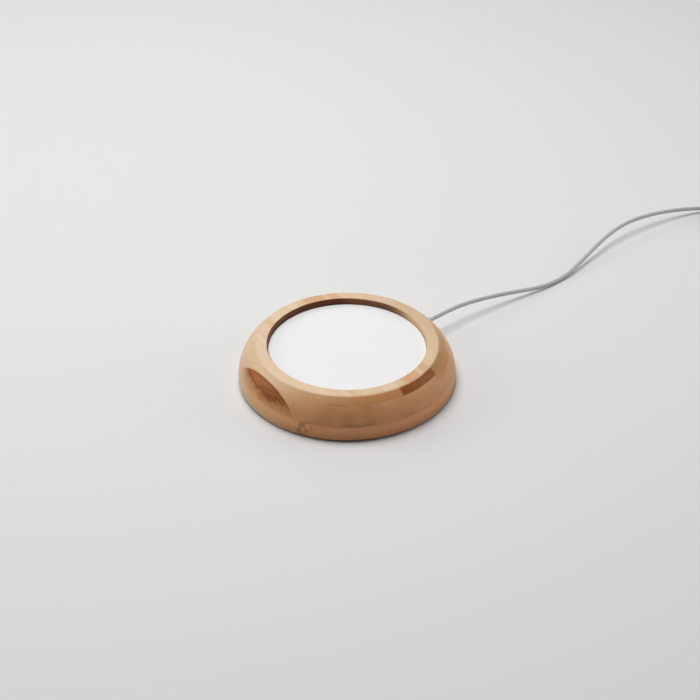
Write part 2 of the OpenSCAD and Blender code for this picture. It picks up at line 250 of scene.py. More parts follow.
def strands_in_strap():
    """Radius and height of each turn where it enters, crosses and leaves the strap."""
    centre = Vector((*WOUND_AT, 0))
    places = [
        wound_point(FIRST_CROSSING + k * tau + side * STRAP_HALF_ANGLE) - centre
        for k in range(CROSSINGS) for side in (-1, 0, 1)
    ]
    return [Vector((place.xy.length, place.z)) for place in places]


def strap_section():
    """The strap's cut end, as distances across and through it: flat faces and round edges."""
    edge = STRAP_T / 2
    side = TIE_W / 2 - edge
    right = [(side + edge * cos(radians(a)), edge * sin(radians(a))) for a in range(-90, 91, 45)]
    spans = 8
    flat = [(side * (1 - 2 * i / spans), edge) for i in range(1, spans)]
    half = right + flat
    return half + [(-x, -y) for x, y in half]


def strap_ring(section, strands, turned):
    """The section at one place round the turns. The last stretch lies on the first."""
    direction = radians(STRAP_START - turned)
    out = Vector((cos(direction), sin(direction)))
    climb_from, climb_to = STRAP_CLIMB
    layer = STRAP_LAP * smoothstep((turned - climb_from) / (climb_to - climb_from))
    lift = CORD_D / 2 + STRAP_GAP + (0.5 + layer) * STRAP_T
    r, z = max(strands, key=out.dot) + lift * out
    ring = []
    for across, through in section:
        angle = TIE_ANGLE + across / r
        reach = r + through * out.x
        x = WOUND_AT[0] + reach * cos(angle)
        y = WOUND_AT[1] + reach * sin(angle)
        ring.append((x, y, z + through * out.y))
    return ring


def add_strap():
    """Hook and loop strap that holds the wound-up turns, its free end over its start."""
    section = strap_section()
    strands = strands_in_strap()
    turns = range(0, STRAP_END + 1, STRAP_STEP)
    rings = [strap_ring(section, strands, turned) for turned in turns]
    return dress(skin("strap", rings), "cord_tie", strap_fabric())


# ---- Plug ----

# In millimetres. The relief tapers and has grooves round it; the grip has ribs on both faces.
RELIEF_L = 10.0
RELIEF_R = 1.8
RELIEF_SLOPE = 0.14
GROOVE_DEPTH = 0.35
GROOVE_PITCH = 1.6
FIRST_GROOVE = 1.2
GRIP_L = 22.0
GRIP_HALF_W = 8.0
GRIP_HALF_H = 4.0
GRIP_EDGE_W = 3.0
GRIP_EDGE_H = 1.2
ROUND = 2.0
GRIP_SQUARENESS = 4.5
RIB_DEPTH = 0.4
RIB_PITCH = 2.0
RIBBED_HALF_L = 6.0
RIBBED_HALF_W = 5.0
RIB_END_W = 0.8
GRIP_SIDES = 96
RELIEF_RINGS = 50
GRIP_RINGS = 110


def rounded_end(from_end, radius):
    """How far a rounded edge of that radius draws in, at a distance from the end."""
    rest = max(radius - from_end, 0.0)
    return radius - (radius * radius - rest * rest) ** 0.5


def signed_power(value, power):
    """A power that keeps the value's sign."""
    return abs(value) ** power if value > 0 else -(abs(value) ** power)


def groove_at(l):
    """Depth of the relief's grooves, l millimetres from its thin end: steep walls, flat floor."""
    if l <= FIRST_GROOVE:
        return 0.0
    return GROOVE_DEPTH * smoothstep(3 * sin(tau * (l / GROOVE_PITCH - 0.25)) - 0.6)


def rib_at(l):
    """Depth between the grip's ribs, l millimetres from the relief's thin end."""
    from_middle = l - RELIEF_L - GRIP_L / 2
    if abs(from_middle) >= RIBBED_HALF_L:
        return 0.0
    return RIB_DEPTH * smoothstep(2 * cos(tau * from_middle / RIB_PITCH) + 0.2)


def grip_ring(l):
    """Ring of the moulded grip, l millimetres from the relief's thin end."""
    if l < RELIEF_L:
        wide = high = RELIEF_R + RELIEF_SLOPE * l - groove_at(l)
        power = ROUND
    else:
        from_end = min(l - RELIEF_L, RELIEF_L + GRIP_L - l)
        wide = GRIP_HALF_W - rounded_end(from_end, GRIP_EDGE_W)
        high = GRIP_HALF_H - rounded_end(from_end, GRIP_EDGE_H)
        power = GRIP_SQUARENESS
    rib = rib_at(l)
    ring = []
    for i in range(GRIP_SIDES):
        c, s = cos(tau * i / GRIP_SIDES), sin(tau * i / GRIP_SIDES)
        across = signed_power(c, 2 / power) * wide
        up = signed_power(s, 2 / power) * high
        sunk = rib * smoothstep((RIBBED_HALF_W - abs(across)) / RIB_END_W)
        sunk *= min(abs(s) * 4, 1.0)
        up -= sunk if up > 0 else -sunk
        ring.append((PLUG_AT[0] + across * MM, PLUG_AT[1] - l * MM, PLUG_AT[2] + up * MM))
    return ring


def add_grip():
    """Moulded grip of the plug, with a grooved relief and ribs on both faces."""
    relief = [grip_ring(RELIEF_L * i / RELIEF_RINGS) for i in range(RELIEF_RINGS)]
    body = [grip_ring(RELIEF_L + GRIP_L * i / GRIP_RINGS) for i in range(GRIP_RINGS + 1)]
    return dress(skin("grip", relief + body), "plug_grip", plug_moulding())


# ---- Transmit coil ----

# Each strand makes one turn round the wire in the length of its lay
LITZ_D = 1.0 * MM
LITZ_STRANDS = 7
LITZ_RIDGE = 0.07
LITZ_LAY = 9 * MM
LITZ_SIDES = 4 * LITZ_STRANDS
LITZ_STEPS_PER_TURN = 120
COIL_INNER_R = 10.8125 * MM
COIL_OUTER_R = 20.9375 * MM
COIL_START = radians(210)
COIL_TURNS = 10 - 15 / 360


def add_litz_coil():
    """The coil as one spiral of twisted wire, between the two lead-out wires."""
    low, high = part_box("transmit_coil")
    z = (low[2] + high[2]) / 2
    steps = ceil(COIL_TURNS * LITZ_STEPS_PER_TURN)
    travelled = 0.0
    rings = []
    for i in range(steps + 1):
        share = i / steps
        r = COIL_INNER_R + (COIL_OUTER_R - COIL_INNER_R) * share
        angle = COIL_START + tau * COIL_TURNS * share
        travelled += r * tau * COIL_TURNS / steps
        ring = []
        for j in range(LITZ_SIDES):
            turned = tau * j / LITZ_SIDES
            lobes = cos(LITZ_STRANDS * (turned - tau * travelled / LITZ_LAY))
            radius = LITZ_D / 2 * (1 - LITZ_RIDGE + LITZ_RIDGE * lobes)
            reach = r + radius * cos(turned)
            ring.append((reach * cos(angle), reach * sin(angle), z + radius * sin(turned)))
        rings.append(ring)
    return dress(skin("litz_coil", rings), "transmit_coil", litz())


# ---- Node graphs ----

class Graph:
    """A material's node tree, with short calls for the nodes that the finishes share."""

    def __init__(self, name, roughness, metallic=0.0):
        self.material = bpy.data.materials.new(name)
        self.material.use_nodes = True
        self.tree = self.material.node_tree
        self.shader = self.tree.nodes["Principled BSDF"]
        self.set("Roughness", roughness)
        self.set("Metallic", metallic)

    def feed(self, socket, value):
        if isinstance(value, bpy.types.NodeSocket):
            self.tree.links.new(value, socket)
        else:
            socket.default_value = value

    def set(self, name, value):
        """Feeds one of the shader's own sockets."""
        self.feed(self.shader.inputs[name], value)

    def node(self, kind, inputs, **settings):
        node = self.tree.nodes.new("ShaderNode" + kind)
        for name, value in settings.items():
            setattr(node, name, value)
        for key, value in inputs.items():
            self.feed(node.inputs[key], value)
        return node

    def place(self):
        """Position in the row frame, in millimetres."""
        coords = self.node("TexCoord", {}).outputs["Object"]
        return self.node("VectorMath", {0: coords, "Scale": 1 / MM}, operation="SCALE").outputs[0]

    def split(self, vector):
        return self.node("SeparateXYZ", {0: vector}).outputs

    def join(self, x, y, z):
        return self.node("CombineXYZ", {0: x, 1: y, 2: z}).outputs[0]

    def math(self, operation, a, b=0.0):
        return self.node("Math", {0: a, 1: b}, operation=operation).outputs[0]

    def add(self, a, b):
        return self.math("ADD", a, b)

    def less(self, a, b):
        return self.math("SUBTRACT", a, b)

    def times(self, a, b):
        return self.math("MULTIPLY", a, b)

    def most(self, a, b):
        return self.math("MAXIMUM", a, b)

    def above(self, value, limit):
        """1 where the value is above the limit, else 0."""
        return self.math("GREATER_THAN", value, limit)

    def apart(self, a, b):
        """How far a is from b, on either side."""
        return self.math("ABSOLUTE", self.less(a, b))

    def ramp(self, value, low, high, out_low=0.0, out_high=1.0, smooth=True):
        """Takes value from low..high to out_low..out_high, and no further."""
        kind = "SMOOTHSTEP" if smooth else "LINEAR"
        inputs = {0: value, 1: low, 2: high, 3: out_low, 4: out_high}
        return self.node("MapRange", inputs, interpolation_type=kind).outputs[0]

    def near(self, value, middle, inner, outer, inside=1.0, outside=0.0):
        """inside where value is within inner of the middle, and outside past outer."""
        return self.ramp(self.apart(value, middle), inner, outer, inside, outside)

    def mix(self, factor, a, b):
        """Mixes two colours."""
        inputs = {0: factor, 6: self.colour(a), 7: self.colour(b)}
        return self.node("Mix", inputs, data_type="RGBA").outputs[2]

    def choose(self, factor, a, b):
        """Mixes two numbers."""
        return self.node("Mix", {0: factor, 2: a, 3: b}, data_type="FLOAT").outputs[0]

    @staticmethod
    def colour(value):
        return value if isinstance(value, bpy.types.NodeSocket) else (*value, 1.0)

    def noise(self, vector, scale, detail=2.0, roughness=0.5):
        inputs = {"Vector": vector, "Scale": scale, "Detail": detail, "Roughness": roughness}
        return self.node("TexNoise", inputs).outputs[0]

    def cells(self, vector, scale):
        return self.node("TexVoronoi", {"Vector": vector, "Scale": scale}).outputs["Distance"]

    def random(self, vector):
        node = self.node("TexWhiteNoise", {"Vector": vector}, noise_dimensions="3D")
        return node.outputs["Value"]

    def bump(self, height, depth_mm):
        """Raises the surface by up to depth_mm where height is 1."""
        inputs = {"Height": height, "Distance": depth_mm * MM, "Strength": 1.0}
        self.set("Normal", self.node("Bump", inputs).outputs[0])


# ---- Bamboo ----

# Long grain, then cut ends, then what darkens them; the last two are the recess wall's painted
# shade
# The top's pale colour holds painted sheen as well as the wood's own tone
BAMBOO_PALE_AND_SHEEN = (0.78, 0.59, 0.395)
BAMBOO_TAN = (0.66, 0.44, 0.25)
TOP_SIDE_TAN = (0.80, 0.470, 0.210)
LOWER_TAN = (0.77, 0.395, 0.165)
TOP_END = (0.62, 0.28, 0.105)
OLIVE_END = (0.43, 0.195, 0.050)
MIDDLE_END = (0.67, 0.31, 0.135)
LIGHT_END = (0.71, 0.36, 0.17)
DULL_END = (0.60, 0.27, 0.115)
LOWEST_END = (0.80, 0.36, 0.155)
FAR_END = (0.75, 0.53, 0.34)
BAMBOO_VEIN = (0.38, 0.142, 0.040)
DARK_LATH = (0.42, 0.125, 0.006)
DARK_STREAK = (0.225, 0.052, 0.002)
RED_STREAK = (0.40, 0.080, 0.004)
GLUE_BROWN = (0.25, 0.090, 0.028)
RECESS_SHADE_BROWN = (0.21, 0.080, 0.028)
RECESS_SHADE_RED = (0.13, 0.028, 0.004)

# The board's three layers: the heights of the two glue lines, the way the fibres run, and for
# the top and the lower layers a seam between two laths and a lath's width
RIM_Z = 21.0
HIGH_LINE = 17.8
LOW_LINE = 8.6
FIBRE_ANGLE = radians(305)
TOP_SEAM = -1.6
TOP_LATH_W = 22.2
LOWER_SEAM = -48.45
LOWER_LATH_W = 15.15
BOTTOM_SHIFT = 6.0
RECESS_R = 40.0

# Marks in the wood: heights, and places along or across the fibres, from the pad's centre
DARK_TOP_END = TOP_SEAM + TOP_LATH_W
DULL_END_SEAM = LOWER_SEAM + 2 * LOWER_LATH_W
RIM_LINE_ACROSS = 13.5
DENSE_LATH_ACROSS = -26.0
DENSE_SPOT_ACROSS = -1.0
WARMEST_Z = 9.0
LEAF_ALONG = 5.0
LEAF_LOW_Z = 11.2
LEAF_END_Z = 12.8
CRACK_Z = 14.0
CRACK_SLOPE = -0.06
KNOT_ALONG = 29.0
KNOT_ACROSS = -41.0

# The pattern changes this much less along the fibres than across them, in single fibres and in
# their bundles, and each layer takes it from another level
FIBRE_STRETCH = 0.03
BUNDLE_STRETCH = 0.015
LEVEL_STEP = 31.0


class BambooFields:
    """The numbers that the bamboo's colour and relief are worked out from, in millimetres."""

    def __init__(self, g):
        x, y, self.z = g.split(g.place())[:3]
        c, s = cos(FIBRE_ANGLE), sin(FIBRE_ANGLE)
        self.along = g.add(g.times(x, c), g.times(y, s))
        self.across = g.less(g.times(y, c), g.times(x, s))
        self.radius = g.math("SQRT", g.add(g.times(x, x), g.times(y, y)))
        nx, ny, nz = g.split(g.node("NewGeometry", {}).outputs["Normal"])[:3]
        self.facing = g.add(g.times(nx, c), g.times(ny, s))
        self.side = g.ramp(nz, 0.95, 0.6)
        self.end_grain = g.ramp(g.math("ABSOLUTE", self.facing), 0.06, 0.62, smooth=False)
        self.inward = g.add(g.times(nx, x), g.times(ny, y))

        self.top = g.above(self.z, HIGH_LINE)
        self.bottom = g.math("LESS_THAN", self.z, LOW_LINE)
        layer = g.less(g.times(self.top, 2.0), self.bottom)
        lower_seam = g.add(g.times(self.bottom, BOTTOM_SHIFT), LOWER_SEAM)
        seam = g.choose(self.top, lower_seam, TOP_SEAM)
        width = g.choose(self.top, LOWER_LATH_W, TOP_LATH_W)
        self.place_in_lath = g.math("DIVIDE", g.less(self.across, seam), width)
        lath = g.math("FLOOR", self.place_in_lath)
        self.tint = g.random(g.join(lath, layer, 3.7))

        # Fibres run along the board, so that they show as streaks on top and as dots at the ends
        level = g.add(self.z, g.times(layer, LEVEL_STEP))
        fibre = g.join(g.times(self.along, FIBRE_STRETCH), self.across, level)
        self.broad = g.noise(fibre, 0.16, 3.0, 0.5)
        self.fine = g.noise(fibre, 1.5, 4.0, 0.6)
        self.hair = g.noise(fibre, 5.0, 3.0, 0.6)
        bundle = g.join(g.times(self.along, BUNDLE_STRETCH), self.across, level)
        self.bundles = g.ramp(g.cells(bundle, 1.15), 0.14, 0.34, 1.0, 0.0)
        self.patchy = g.noise(g.place(), 0.09, 2.0)


def bamboo():
    """Three layers of flat laths glued side by side, their fibres all running one way."""
    g = Graph("bamboo", 0.4)
    g.set("Specular IOR Level", 0.3)
    f = BambooFields(g)
    colour = g.mix(f.end_grain, long_grain(g, f), cut_ends(g, f))
    colour = g.mix(g.times(f.bundles, g.choose(f.end_grain, 0.14, 0.26)), colour, BAMBOO_VEIN)
    marks = [
        (skin_and_foot_shade(g, f), 0.55, BAMBOO_VEIN),
        (rim_stain(g, f), 0.6, TOP_END),
        (olive_lath(g, f), 0.24, OLIVE_END),
        (dark_laths(g, f), 0.97, dark_lath_colour(g, f)),
        (seams(g, f), 0.6, GLUE_BROWN),
        (knot(g, f), 0.65, GLUE_BROWN),
        # Painted shade on the recess's far wall
        (recess_wall_shade(g, f), 1.0, g.mix(g.ramp(f.across, 17.0, 27.0), RECESS_SHADE_RED, RECESS_SHADE_BROWN)),
    ]
    for where, strength, brown in marks:
        colour = g.mix(g.times(where, strength), colour, brown)
    g.set("Base Color", colour)
    g.set("Roughness", g.ramp(f.fine, 0.3, 0.7, 0.36, 0.48))
    relief = g.add(g.times(f.hair, 0.35), g.times(f.fine, 0.4))
    g.bump(g.less(relief, g.times(f.bundles, 0.4)), 0.02)
    return g.material


def long_grain(g, f):
    """The laths' faces and flanks: pale on top with painted sheen, warmer in the two lower
    layers.
    """
    tone = g.add(g.times(f.broad, 0.9), g.times(f.tint, 0.14))
    tone = g.ramp(g.add(tone, g.times(f.fine, 0.22)), 0.40, 1.0)
    top = g.mix(tone, BAMBOO_PALE_AND_SHEEN, BAMBOO_TAN)
    # The top layer's flanks go halfway to a warmer tan: partly the wood's tone, partly because
    # the flat top's colour holds painted sheen
    top = g.mix(g.times(f.side, 0.5), top, TOP_SIDE_TAN)
    warm = g.near(f.z, WARMEST_Z, 1.5, 6.0, 0.9, 0.2)
    lower = g.mix(g.most(tone, warm), BAMBOO_TAN, LOWER_TAN)
    lower = g.mix(g.ramp(f.z, HIGH_LINE - 0.5, 12.0, 0.35, 1.0), top, lower)
    return g.mix(f.top, lower, top)


def cut_ends(g, f):
    """The laths' ends: darker and redder than their faces, olive-brown on top at the right."""
    olive = g.ramp(f.across, DARK_TOP_END, DARK_TOP_END + 0.6)
    olive = g.times(olive, g.ramp(f.z, HIGH_LINE, HIGH_LINE + 1.4, 0.35, 1.0))
    top = g.mix(olive, TOP_END, OLIVE_END)
    light = g.mix(g.ramp(f.patchy, 0.35, 0.65), MIDDLE_END, LIGHT_END)
    light = g.mix(g.ramp(f.across, 38.0, 52.0), light, FAR_END)
    dull = g.mix(g.ramp(f.broad, 0.35, 0.65), MIDDLE_END, DULL_END)
    middle = g.mix(g.ramp(f.across, DULL_END_SEAM - 0.5, DULL_END_SEAM), dull, light)
    lowest = g.mix(g.ramp(f.across, 20.0, 44.0, 0.7, 0.0), light, LOWEST_END)
    near = g.mix(f.top, g.mix(f.bottom, middle, lowest), top)
    return g.mix(g.ramp(f.facing, 0.0, -0.2), near, FAR_END)


def skin_and_foot_shade(g, f):
    """Denser wood on the side of each lath that was the cane's skin, mostly its lower side, and
    painted contact shade at the board's foot.
    """
    # Just over the low glue line, on one lath and on a spot of another
    over_line = g.less(f.z, LOW_LINE)
    shade = g.times(g.ramp(over_line, 0.2, 2.9, 0.85, 0.0), g.above(over_line, 0.0))
    lath = g.near(f.across, DENSE_LATH_ACROSS, 5.5, 9.0)
    spot = g.near(f.across, DENSE_SPOT_ACROSS, 2.0, 6.0, 0.62)
    shade = g.times(shade, g.most(lath, spot))
    # Under the high glue line at the right, where the laths lie skin side up, and over it
    upturned = g.times(g.ramp(f.z, 14.3, HIGH_LINE - 0.8), g.ramp(f.across, 17.0, 24.0, 0.0, 0.8))
    upturned = g.times(upturned, g.ramp(f.across, 34.0, 46.0, 1.0, 0.3))
    upturned = g.times(upturned, g.less(1.0, f.top))
    upturned = g.add(upturned, g.times(f.top, g.ramp(f.across, 36.0, 46.0, 0.0, 0.75)))
    # The board's lowest stretch, darker towards the floor: its skin side down, and painted
    # contact shade
    foot_skin_and_shade = g.ramp(f.z, 6.4, 2.6, 0.0, 0.85)
    shade = g.add(g.add(shade, upturned), foot_skin_and_shade)
    return g.times(shade, g.ramp(f.facing, 0.06, 0.45, 0.2, 1.0))


def rim_stain(g, f):
    """The dark top lath is a little browner on the rim too."""
    first = g.times(g.ramp(f.across, 1.0, 4.5), g.ramp(f.across, 13.4, 12.8))
    second = g.times(g.ramp(f.across, 15.7, 16.2), g.ramp(f.across, TOP_LATH_W, 19.5, 0.0, 0.6))
    line = g.near(f.across, RIM_LINE_ACROSS, 0.15, 0.4, 0.8)
    stain = g.most(g.most(first, second), line)
    return g.times(stain, g.times(f.top, g.ramp(f.facing, 0.3, 0.1)))


def olive_lath(g, f):
    """The outermost stretch of the top at the right is olive-brown on the rim too."""
    return g.times(g.ramp(f.across, 31.0, 38.0), g.times(f.top, g.less(1.0, f.side)))


def dark_laths(g, f):
    """Where two dark laths show: the top layer's by its ends, the middle layer's by its flank."""
    # The top layer's has ragged sides, and the right one leans
    ragged = g.add(f.across, g.times(g.less(f.fine, 0.5), 0.8))
    right = g.add(DARK_TOP_END + 0.3, g.times(g.less(RIM_Z, f.z), 0.45))
    ends = g.ramp(ragged, TOP_SEAM - 0.4, TOP_SEAM + 0.9)
    ends = g.times(ends, g.ramp(g.less(ragged, right), 0.1, -0.2))
    ends = g.times(ends, g.times(f.top, g.ramp(f.facing, 0.28, 0.5)))

    # The middle layer's is outside its last seam, with a lower edge that dips like a leaf's
    flank = g.times(g.ramp(f.across, LOWER_SEAM + 0.1, LOWER_SEAM - 0.25), g.less(1.0, f.bottom))
    edge = g.ramp(g.apart(f.along, LEAF_ALONG), 0.0, 15.0, LEAF_LOW_Z, LEAF_END_Z)
    spots = g.noise(g.join(g.times(f.along, 0.4), f.across, f.z), 0.6, 4.0, 0.65)
    height = g.less(g.add(f.z, g.times(g.less(spots, 0.5), 6.0)), edge)
    fade = g.add(g.ramp(height, -2.6, -0.8, 0.24, 0.50), g.ramp(height, -0.8, 1.8, 0.0, 0.50))
    fade = g.times(fade, g.ramp(f.z, LOW_LINE, 10.0, 0.55, 1.0))
    flank = g.times(g.times(flank, fade), g.ramp(f.along, -22.0, -12.0, 0.6, 1.0))
    return g.most(ends, flank)


def dark_lath_colour(g, f):
    """The dark flank has streaks along its fibres and a wavy dark line; dark ends have dots."""
    streak = g.noise(g.join(g.times(f.along, 0.1), f.across, f.z), 0.9, 3.0, 0.65)
    reddish = g.times(g.ramp(streak, 0.50, 0.60), g.less(1.0, f.top))
    colour = g.mix(reddish, DARK_LATH, RED_STREAK)
    deeper = g.add(g.ramp(f.along, 0.0, 14.0), g.ramp(f.z, 15.0, 17.5, 0.0, 0.5))
    grain = g.ramp(g.add(f.fine, g.times(deeper, 0.12)), 0.50, 0.66, 0.05, 0.9)
    wavy = g.times(g.less(g.noise(g.join(f.along, f.across, 0.0), 0.12, 3.0, 0.6), 0.5), 7.0)
    crack_z = g.add(CRACK_Z, g.times(f.along, CRACK_SLOPE))
    crack = g.near(g.add(f.z, wavy), crack_z, 0.2, 0.7)
    dots = g.add(g.ramp(f.fine, 0.42, 0.60, 0.3, 1.0), g.ramp(f.across, 12.0, 18.0, 0.0, 0.15))
    return g.mix(g.choose(f.top, g.most(grain, crack), dots), colour, DARK_STREAK)


def seams(g, f):
    """Glue lines: between layers, clearest at the fibres' ends, and fine ones between laths."""
    # The low line, faint in places and at the sides
    low = g.near(f.z, LOW_LINE, 0.10, 0.55, 0.7)
    low = g.times(low, g.near(f.across, -16.0, 22.0, 34.0, 1.0, 0.15))
    low = g.times(low, g.ramp(f.patchy, 0.38, 0.60, 0.25, 1.0))
    # The high line, which hardly shows but for one short stretch
    high = g.near(f.z, HIGH_LINE, 0.08, 0.30)
    high = g.times(high, g.near(f.across, -32.5, 2.5, 4.5, 0.8, 0.06))
    level = g.times(g.add(low, high), g.ramp(f.end_grain, 0.6, 1.0, 0.1, 0.8))
    in_lath = g.math("FRACT", f.place_in_lath)
    from_seam = g.math("MINIMUM", in_lath, g.less(1.0, in_lath))
    return g.most(level, g.ramp(from_seam, 0.003, 0.012, 0.15, 0.0))


def knot(g, f):
    """Mottled knot across one lath of the bottom layer, at the front left."""
    wavy = g.add(f.along, g.times(g.less(f.patchy, 0.5), 6.0))
    band = g.near(wavy, KNOT_ALONG, 2.2, 4.2)
    band = g.times(band, g.ramp(f.across, KNOT_ACROSS + 1.0, KNOT_ACROSS))
    band = g.times(band, g.ramp(f.z, LOW_LINE + 1.5, LOW_LINE - 1.0))
    x, y, z = g.split(g.place())[:3]
    mottle = g.noise(g.join(x, y, g.times(z, 0.35)), 0.42, 2.0, 0.5)
    return g.times(band, g.near(mottle, 0.5, 0.025, 0.08))


def recess_wall_shade(g, f):
    """Painted shade on the far side of the recess's wall."""
    wall = g.ramp(f.radius, RECESS_R + 0.55, RECESS_R + 0.15)
    wall = g.times(wall, g.ramp(f.inward, 0.0, -8.0))
    wall = g.times(wall, g.ramp(f.along, 3.0, -18.0))
    return g.times(wall, g.above(f.z, 14.0))


# ---- Plastics and rubbers ----

# The lead, its grommet and the plug's grip are all of this grey
CORD_GREY = (0.50, 0.50, 0.51)
CLOUD_SCALE = 0.06

# Each moulded slot's colour, roughness, size and depth of its grain in millimetres, how far its
# roughness varies either way, and how much darker its darkest clouds are
MOULDED_SLOTS = {
    "white_plastic": ((0.86, 0.86, 0.855), 0.55, 0.15, 0.004, 0.04, 0.008),
    "adhesive_tape": ((0.78, 0.74, 0.62), 0.4, 0.6, 0.02, 0.08, 0.12),
    "sensor_glass": ((0.05, 0.06, 0.06), 0.14, 0.8, 0.01, 0.04, 0.03),
    "cover_plastic": ((0.045, 0.045, 0.048), 0.62, 0.35, 0.035, 0.08, 0.1),
    "foot_rubber": ((0.03, 0.03, 0.03), 0.8, 0.5, 0.02, 0.06, 0.2),
    "grommet_rubber": (CORD_GREY, 0.55, 0.2, 0.01, 0.04, 0.03),
    "red_insulation": ((0.6, 0.03, 0.02), 0.33, 0.4, 0.008, 0.05, 0.1),
    "black_insulation": ((0.02, 0.02, 0.02), 0.33, 0.4, 0.008, 0.05, 0.1),
    "tongue_plastic": ((0.82, 0.82, 0.80), 0.45, 0.2, 0.006, 0.04, 0.03),
}


def shaded(colour, share):
    """The colour at that share of its brightness."""
    return tuple(channel * share for channel in colour)


def moulded(name, colour, roughness, grain_mm, depth_mm, spread=0.04, cloudy=0.03):
    """Moulded plastic or rubber: a fine surface grain and a little unevenness."""
    g = Graph(name, roughness)
    place = g.place()
    grain = g.noise(place, 1 / grain_mm, 3.0, 0.6)
    cloud = g.noise(place, CLOUD_SCALE, 2.0)
    darker = shaded(colour, 1 - cloudy)
    g.set("Base Color", g.mix(g.ramp(cloud, 0.35, 0.65), darker, colour))
    g.set("Roughness", g.ramp(grain, 0.3, 0.7, roughness - spread, roughness + spread))
    g.bump(grain, depth_mm)
    return g.material


def cord_sheath():
    return moulded("cord_sheath", CORD_GREY, 0.45, grain_mm=0.2, depth_mm=0.006)


def plug_moulding():
    return moulded("plug_moulding", CORD_GREY, 0.5, grain_mm=0.15, depth_mm=0.008)


# The strap's pile: half its width in millimetres, and its greys; the darker one is painted shade
# at the feet of the loops
PILE_HALF_W = 2.75
PILE_FOOT_SHADE_GREY = (0.045, 0.045, 0.05)
PILE_TIP_GREY = (0.15, 0.15, 0.155)


def strap_fabric():
    """Hook and loop tape: a pile of small loops between two woven edges."""
    g = Graph("tie_strap", 0.95)
    x, y, z = g.split(g.place())[:3]
    tangent = (-sin(TIE_ANGLE), cos(TIE_ANGLE))
    beside = g.add(g.times(g.less(x, WOUND_AT[0] / MM), tangent[0]),
                   g.times(g.less(y, WOUND_AT[1] / MM), tangent[1]))
    edge = g.ramp(g.math("ABSOLUTE", beside), PILE_HALF_W, PILE_HALF_W + 0.2)
    pile = g.ramp(g.cells(g.place(), 2.6), 0.1, 0.6, 1.0, 0.0)
    pile = g.add(pile, g.times(g.noise(g.place(), 6.0, 3.0, 0.7), 0.6))
    weave = {"Vector": g.join(x, y, g.times(z, 1.3)), "Scale": 0.9, "Distortion": 0.4}
    woven = g.times(g.node("TexWave", weave).outputs["Color"], 0.6)
    height = g.choose(edge, pile, woven)
    # Painted shade: the pile and the weave darken where they are low
    g.set("Base Color", g.mix(g.ramp(height, 0.1, 1.1), PILE_FOOT_SHADE_GREY, PILE_TIP_GREY))
    g.set("Sheen Weight", 0.35)
    g.set("Sheen Roughness", 0.5)
    g.bump(height, 0.09)
    return g.material


# ---- Metals and what is inside ----

COPPER = (0.72, 0.36, 0.18)
COPPER_SHADE = (0.50, 0.20, 0.08)
NICKEL = (0.66, 0.65, 0.63)
GOLD = (0.8, 0.6, 0.25)
TIN = (0.70, 0.70, 0.68)
FERRITE_GREY = (0.05, 0.05, 0.055)
FERRITE_GRAIN = (0.13, 0.13, 0.135)
FERRITE_PIT_SHADE = (0.02, 0.02, 0.02)
BOARD_GREEN = (0.012, 0.13, 0.045)
TRACK_GREEN = (0.03, 0.24, 0.085)
BARE_LAMINATE = (0.36, 0.36, 0.19)
EPOXY_BLACK = (0.018, 0.018, 0.02)
EPOXY_GRAIN = (0.04, 0.04, 0.043)
CAPACITOR_TAN = (0.52, 0.38, 0.24)
RESISTOR_BLACK = (0.03, 0.03, 0.035)

# In millimetres: the distance between tracks; the height of a chip's pads; half the length of
# a resistor; and half the length of each small part between its tinned ends
TRACK_PITCH = 1.27
PAD_H = 0.12
RESISTOR_HALF_L = 0.8
RESISTOR_HALF_BODY = 0.5
LARGE_CERAMIC_HALF_BODY = 1.1
SMALL_CERAMIC_HALF_BODY = 0.65
TIN_EDGE = 0.04


def plated(name, colour, roughness):
    """Plated metal: faint drawing lines and a few dull spots."""
    g = Graph(name, roughness, 1.0)
    x, y, z = g.split(g.place())[:3]
    lines = g.noise(g.join(g.times(x, 8.0), g.times(y, 0.4), g.times(z, 8.0)), 1.0, 4.0, 0.6)
    spots = g.ramp(g.noise(g.place(), 0.4, 3.0), 0.55, 0.75)
    g.set("Base Color", g.mix(lines, shaded(colour, 0.85), colour))
    brushed = g.ramp(lines, 0.3, 0.7, roughness - 0.06, roughness + 0.06)
    g.set("Roughness", g.add(brushed, g.times(spots, 0.08)))
    g.bump(lines, 0.0015)
    return g.material


def litz():
    """Bundle of enamelled copper strands."""
    g = Graph("litz_copper", 0.3, 1.0)
    shade = g.noise(g.place(), 1.2, 3.0)
    g.set("Base Color", g.mix(g.ramp(shade, 0.3, 0.7), COPPER_SHADE, COPPER))
    g.set("Roughness", g.ramp(shade, 0.3, 0.7, 0.24, 0.38))
    g.set("Coat Weight", 0.4)
    g.bump(g.noise(g.place(), 7.0, 2.0), 0.01)
    return g.material


def ferrite():
    """Sintered ferrite: nearly black, with pale grains and small pits darkened by painted shade.
    """
    g = Graph("ferrite", 0.6)
    speckle = g.ramp(g.noise(g.place(), 5.0, 3.0, 0.7), 0.55, 0.75)
    pits = g.ramp(g.cells(g.place(), 1.1), 0.05, 0.18, 1.0, 0.0)
    colour = g.mix(speckle, FERRITE_GREY, FERRITE_GRAIN)
    # Painted shade darkens the pits
    g.set("Base Color", g.mix(g.times(pits, 0.7), colour, FERRITE_PIT_SHADE))
    g.bump(g.less(speckle, pits), 0.03)
    return g.material


